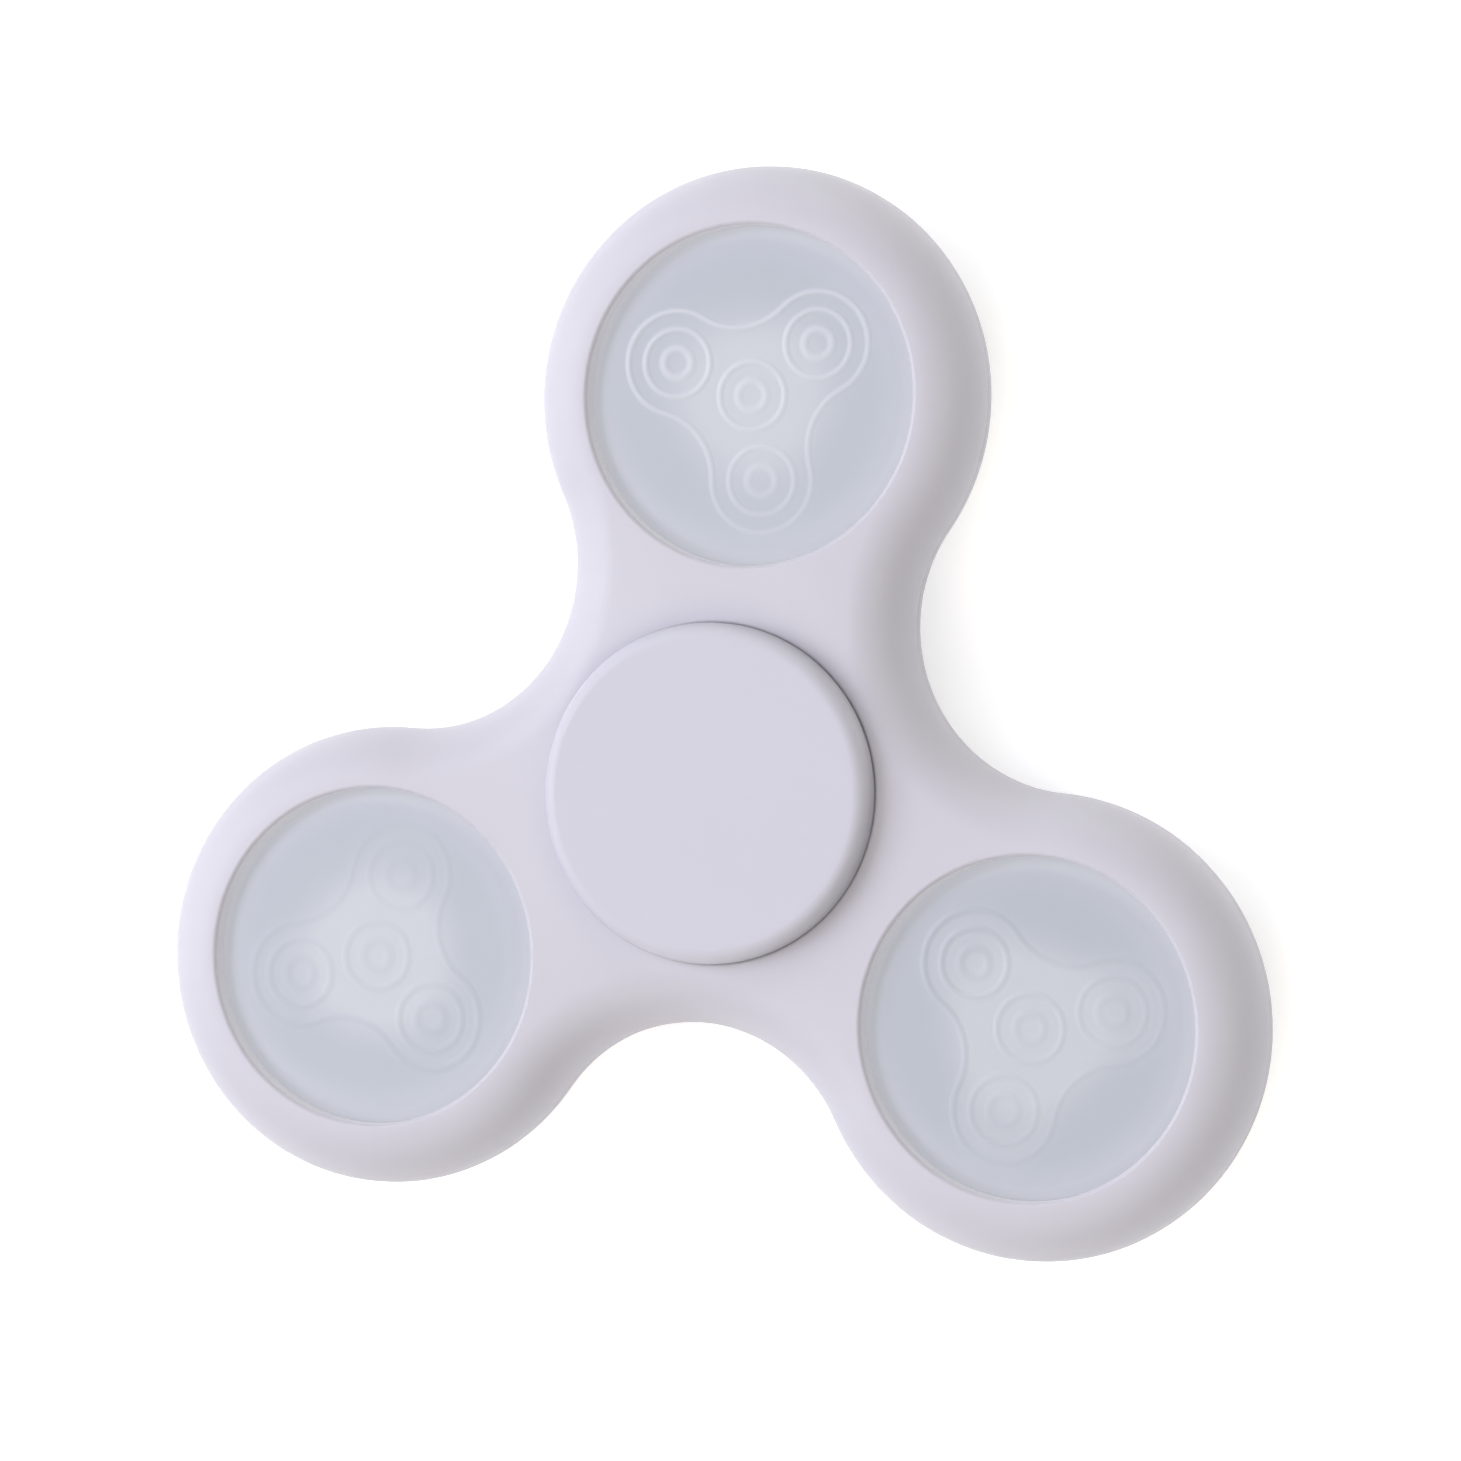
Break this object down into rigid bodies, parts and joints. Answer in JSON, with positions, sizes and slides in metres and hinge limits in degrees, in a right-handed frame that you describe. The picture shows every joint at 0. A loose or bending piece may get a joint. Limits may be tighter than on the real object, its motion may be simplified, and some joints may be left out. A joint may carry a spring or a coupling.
{
  "type": "fidget spinner",
  "caption": "Flat three-lobed spinning toy: rounded body on a ball bearing between two thumb caps, with a press-on light pod under a frosted cap in each lobe.",
  "frame": {"origin": "centre of the rear thumb cap's flat outer face", "axes": "+Z along the spin axis, from the rear thumb cap to the front one; +Y from the axis towards one lobe; +X across the widest part"},
  "size_m": [0.0754, 0.0692, 0.0116],
  "materials": {
    "body_plastic": "fine moulded texture, nearly white",
    "cap_plastic": "matte, nearly white",
    "lens_plastic": "frosted translucent, cool white",
    "pod_plastic": "matte moulded",
    "bearing_steel": "ground and polished",
    "cage_nylon": "natural nylon",
    "board": "green solder mask over glass fibre",
    "led_red": "clear epoxy over a red chip",
    "led_green": "clear epoxy over a green chip",
    "led_blue": "clear epoxy over a blue chip",
    "switch_plastic": "matte black",
    "plunger_plastic": "matte buff",
    "cell_steel": "nickel plated",
    "contact_brass": "stamped strip",
    "screw_steel": "zinc plated"
  },
  "bodies": {
    "hub": {"thumb_cap_front": "cap_plastic", "thumb_cap_rear": "cap_plastic", "bearing_inner_ring": "bearing_steel"},
    "rotor": {"body_shell": "body_plastic", "bearing_outer_ring": "bearing_steel", "pod_case_a": "pod_plastic", "rear_cover_a": "pod_plastic", "cover_screw_a": "screw_steel", "circuit_board_a": "board", "led_red_a": "led_red", "led_green_a": "led_green", "led_blue_a": "led_blue", "switch_body_a": "switch_plastic", "cell_1_a": "cell_steel", "cell_2_a": "cell_steel", "cell_3_a": "cell_steel", "contact_bridge_a": "contact_brass", "contact_end_a": "contact_brass", "pod_case_b": "pod_plastic", "rear_cover_b": "pod_plastic", "cover_screw_b": "screw_steel", "circuit_board_b": "board", "led_red_b": "led_red", "led_green_b": "led_green", "led_blue_b": "led_blue", "switch_body_b": "switch_plastic", "cell_1_b": "cell_steel", "cell_2_b": "cell_steel", "cell_3_b": "cell_steel", "contact_bridge_b": "contact_brass", "contact_end_b": "contact_brass", "pod_case_c": "pod_plastic", "rear_cover_c": "pod_plastic", "cover_screw_c": "screw_steel", "circuit_board_c": "board", "led_red_c": "led_red", "led_green_c": "led_green", "led_blue_c": "led_blue", "switch_body_c": "switch_plastic", "cell_1_c": "cell_steel", "cell_2_c": "cell_steel", "cell_3_c": "cell_steel", "contact_bridge_c": "contact_brass", "contact_end_c": "contact_brass"},
    "lens_a": {"lens_a": "lens_plastic"},
    "plunger_a": {"switch_plunger_a": "plunger_plastic"},
    "lens_b": {"lens_b": "lens_plastic"},
    "plunger_b": {"switch_plunger_b": "plunger_plastic"},
    "lens_c": {"lens_c": "lens_plastic"},
    "plunger_c": {"switch_plunger_c": "plunger_plastic"},
    "cage": {"bearing_cage": "cage_nylon"},
    "ball_1": {"bearing_ball_1": "bearing_steel"},
    "ball_2": {"bearing_ball_2": "bearing_steel"},
    "ball_3": {"bearing_ball_3": "bearing_steel"},
    "ball_4": {"bearing_ball_4": "bearing_steel"},
    "ball_5": {"bearing_ball_5": "bearing_steel"},
    "ball_6": {"bearing_ball_6": "bearing_steel"},
    "ball_7": {"bearing_ball_7": "bearing_steel"}
  },
  "joints": [
    {"name": "spin", "type": "hinge", "parent": "hub", "child": "rotor", "pos_m": [0, 0, 0.0058], "axis": [0, 0, 1], "continuous": true},
    {"name": "lens_press_a", "type": "slide", "parent": "rotor", "child": "lens_a", "axis": [0, 0, 1], "range_m": [-0.0003, 0], "stiffness_N_per_m": 5000},
    {"name": "switch_press_a", "type": "slide", "parent": "rotor", "child": "plunger_a", "axis": [0, 0, 1], "range_m": [-0.0003, 0]},
    {"name": "lens_press_b", "type": "slide", "parent": "rotor", "child": "lens_b", "axis": [0, 0, 1], "range_m": [-0.0003, 0], "stiffness_N_per_m": 5000},
    {"name": "switch_press_b", "type": "slide", "parent": "rotor", "child": "plunger_b", "axis": [0, 0, 1], "range_m": [-0.0003, 0]},
    {"name": "lens_press_c", "type": "slide", "parent": "rotor", "child": "lens_c", "axis": [0, 0, 1], "range_m": [-0.0003, 0], "stiffness_N_per_m": 5000},
    {"name": "switch_press_c", "type": "slide", "parent": "rotor", "child": "plunger_c", "axis": [0, 0, 1], "range_m": [-0.0003, 0]},
    {"name": "cage_orbit", "type": "hinge", "parent": "hub", "child": "cage", "pos_m": [0, 0, 0.0058], "axis": [0, 0, 1], "continuous": true},
    {"name": "ball_spin_1", "type": "hinge", "parent": "cage", "child": "ball_1", "pos_m": [0, 0.0075, 0.0058], "axis": [0, 0, 1], "continuous": true},
    {"name": "ball_spin_2", "type": "hinge", "parent": "cage", "child": "ball_2", "pos_m": [-0.00586, 0.00468, 0.0058], "axis": [0, 0, 1], "continuous": true},
    {"name": "ball_spin_3", "type": "hinge", "parent": "cage", "child": "ball_3", "pos_m": [-0.00731, -0.00167, 0.0058], "axis": [0, 0, 1], "continuous": true},
    {"name": "ball_spin_4", "type": "hinge", "parent": "cage", "child": "ball_4", "pos_m": [-0.00325, -0.00676, 0.0058], "axis": [0, 0, 1], "continuous": true},
    {"name": "ball_spin_5", "type": "hinge", "parent": "cage", "child": "ball_5", "pos_m": [0.00325, -0.00676, 0.0058], "axis": [0, 0, 1], "continuous": true},
    {"name": "ball_spin_6", "type": "hinge", "parent": "cage", "child": "ball_6", "pos_m": [0.00731, -0.00167, 0.0058], "axis": [0, 0, 1], "continuous": true},
    {"name": "ball_spin_7", "type": "hinge", "parent": "cage", "child": "ball_7", "pos_m": [0.00586, 0.00468, 0.0058], "axis": [0, 0, 1], "continuous": true}
  ],
  "couplings": [
    {"joint": "switch_press_a", "follows": "lens_press_a", "ratio": 1},
    {"joint": "switch_press_b", "follows": "lens_press_b", "ratio": 1},
    {"joint": "switch_press_c", "follows": "lens_press_c", "ratio": 1},
    {"joint": "cage_orbit", "follows": "spin", "ratio": 0.6323},
    {"joint": "ball_spin_1", "follows": "spin", "ratio": 1.7573},
    {"joint": "ball_spin_2", "follows": "spin", "ratio": 1.7573},
    {"joint": "ball_spin_3", "follows": "spin", "ratio": 1.7573},
    {"joint": "ball_spin_4", "follows": "spin", "ratio": 1.7573},
    {"joint": "ball_spin_5", "follows": "spin", "ratio": 1.7573},
    {"joint": "ball_spin_6", "follows": "spin", "ratio": 1.7573},
    {"joint": "ball_spin_7", "follows": "spin", "ratio": 1.7573}
  ]
}
